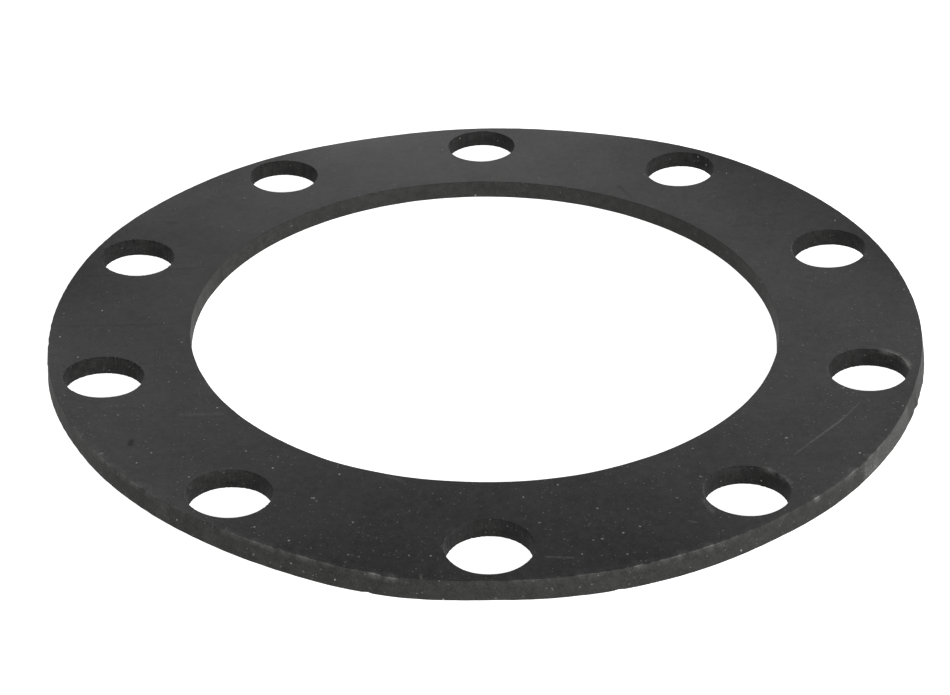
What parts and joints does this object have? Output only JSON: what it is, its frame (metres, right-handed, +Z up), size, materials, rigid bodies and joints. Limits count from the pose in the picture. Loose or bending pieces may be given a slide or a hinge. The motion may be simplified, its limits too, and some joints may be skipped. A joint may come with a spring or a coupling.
{
  "type": "rubber flange gasket",
  "caption": "Full-face flange gasket: a flat black rubber ring with an even circle of bolt holes around a large round bore.",
  "frame": {"origin": "centre of the bore, on the underside that the gasket lies on", "axes": "+Z up along the bore axis, from the underside to the upper face; one bolt hole lies on -Y"},
  "size_m": [0.225, 0.225, 0.0048],
  "materials": {
    "rubber": "matte, cut from calendered sheet, with fine pale dust"
  },
  "bodies": {
    "root": {"flange_gasket": "rubber"}
  },
  "joints": []
}
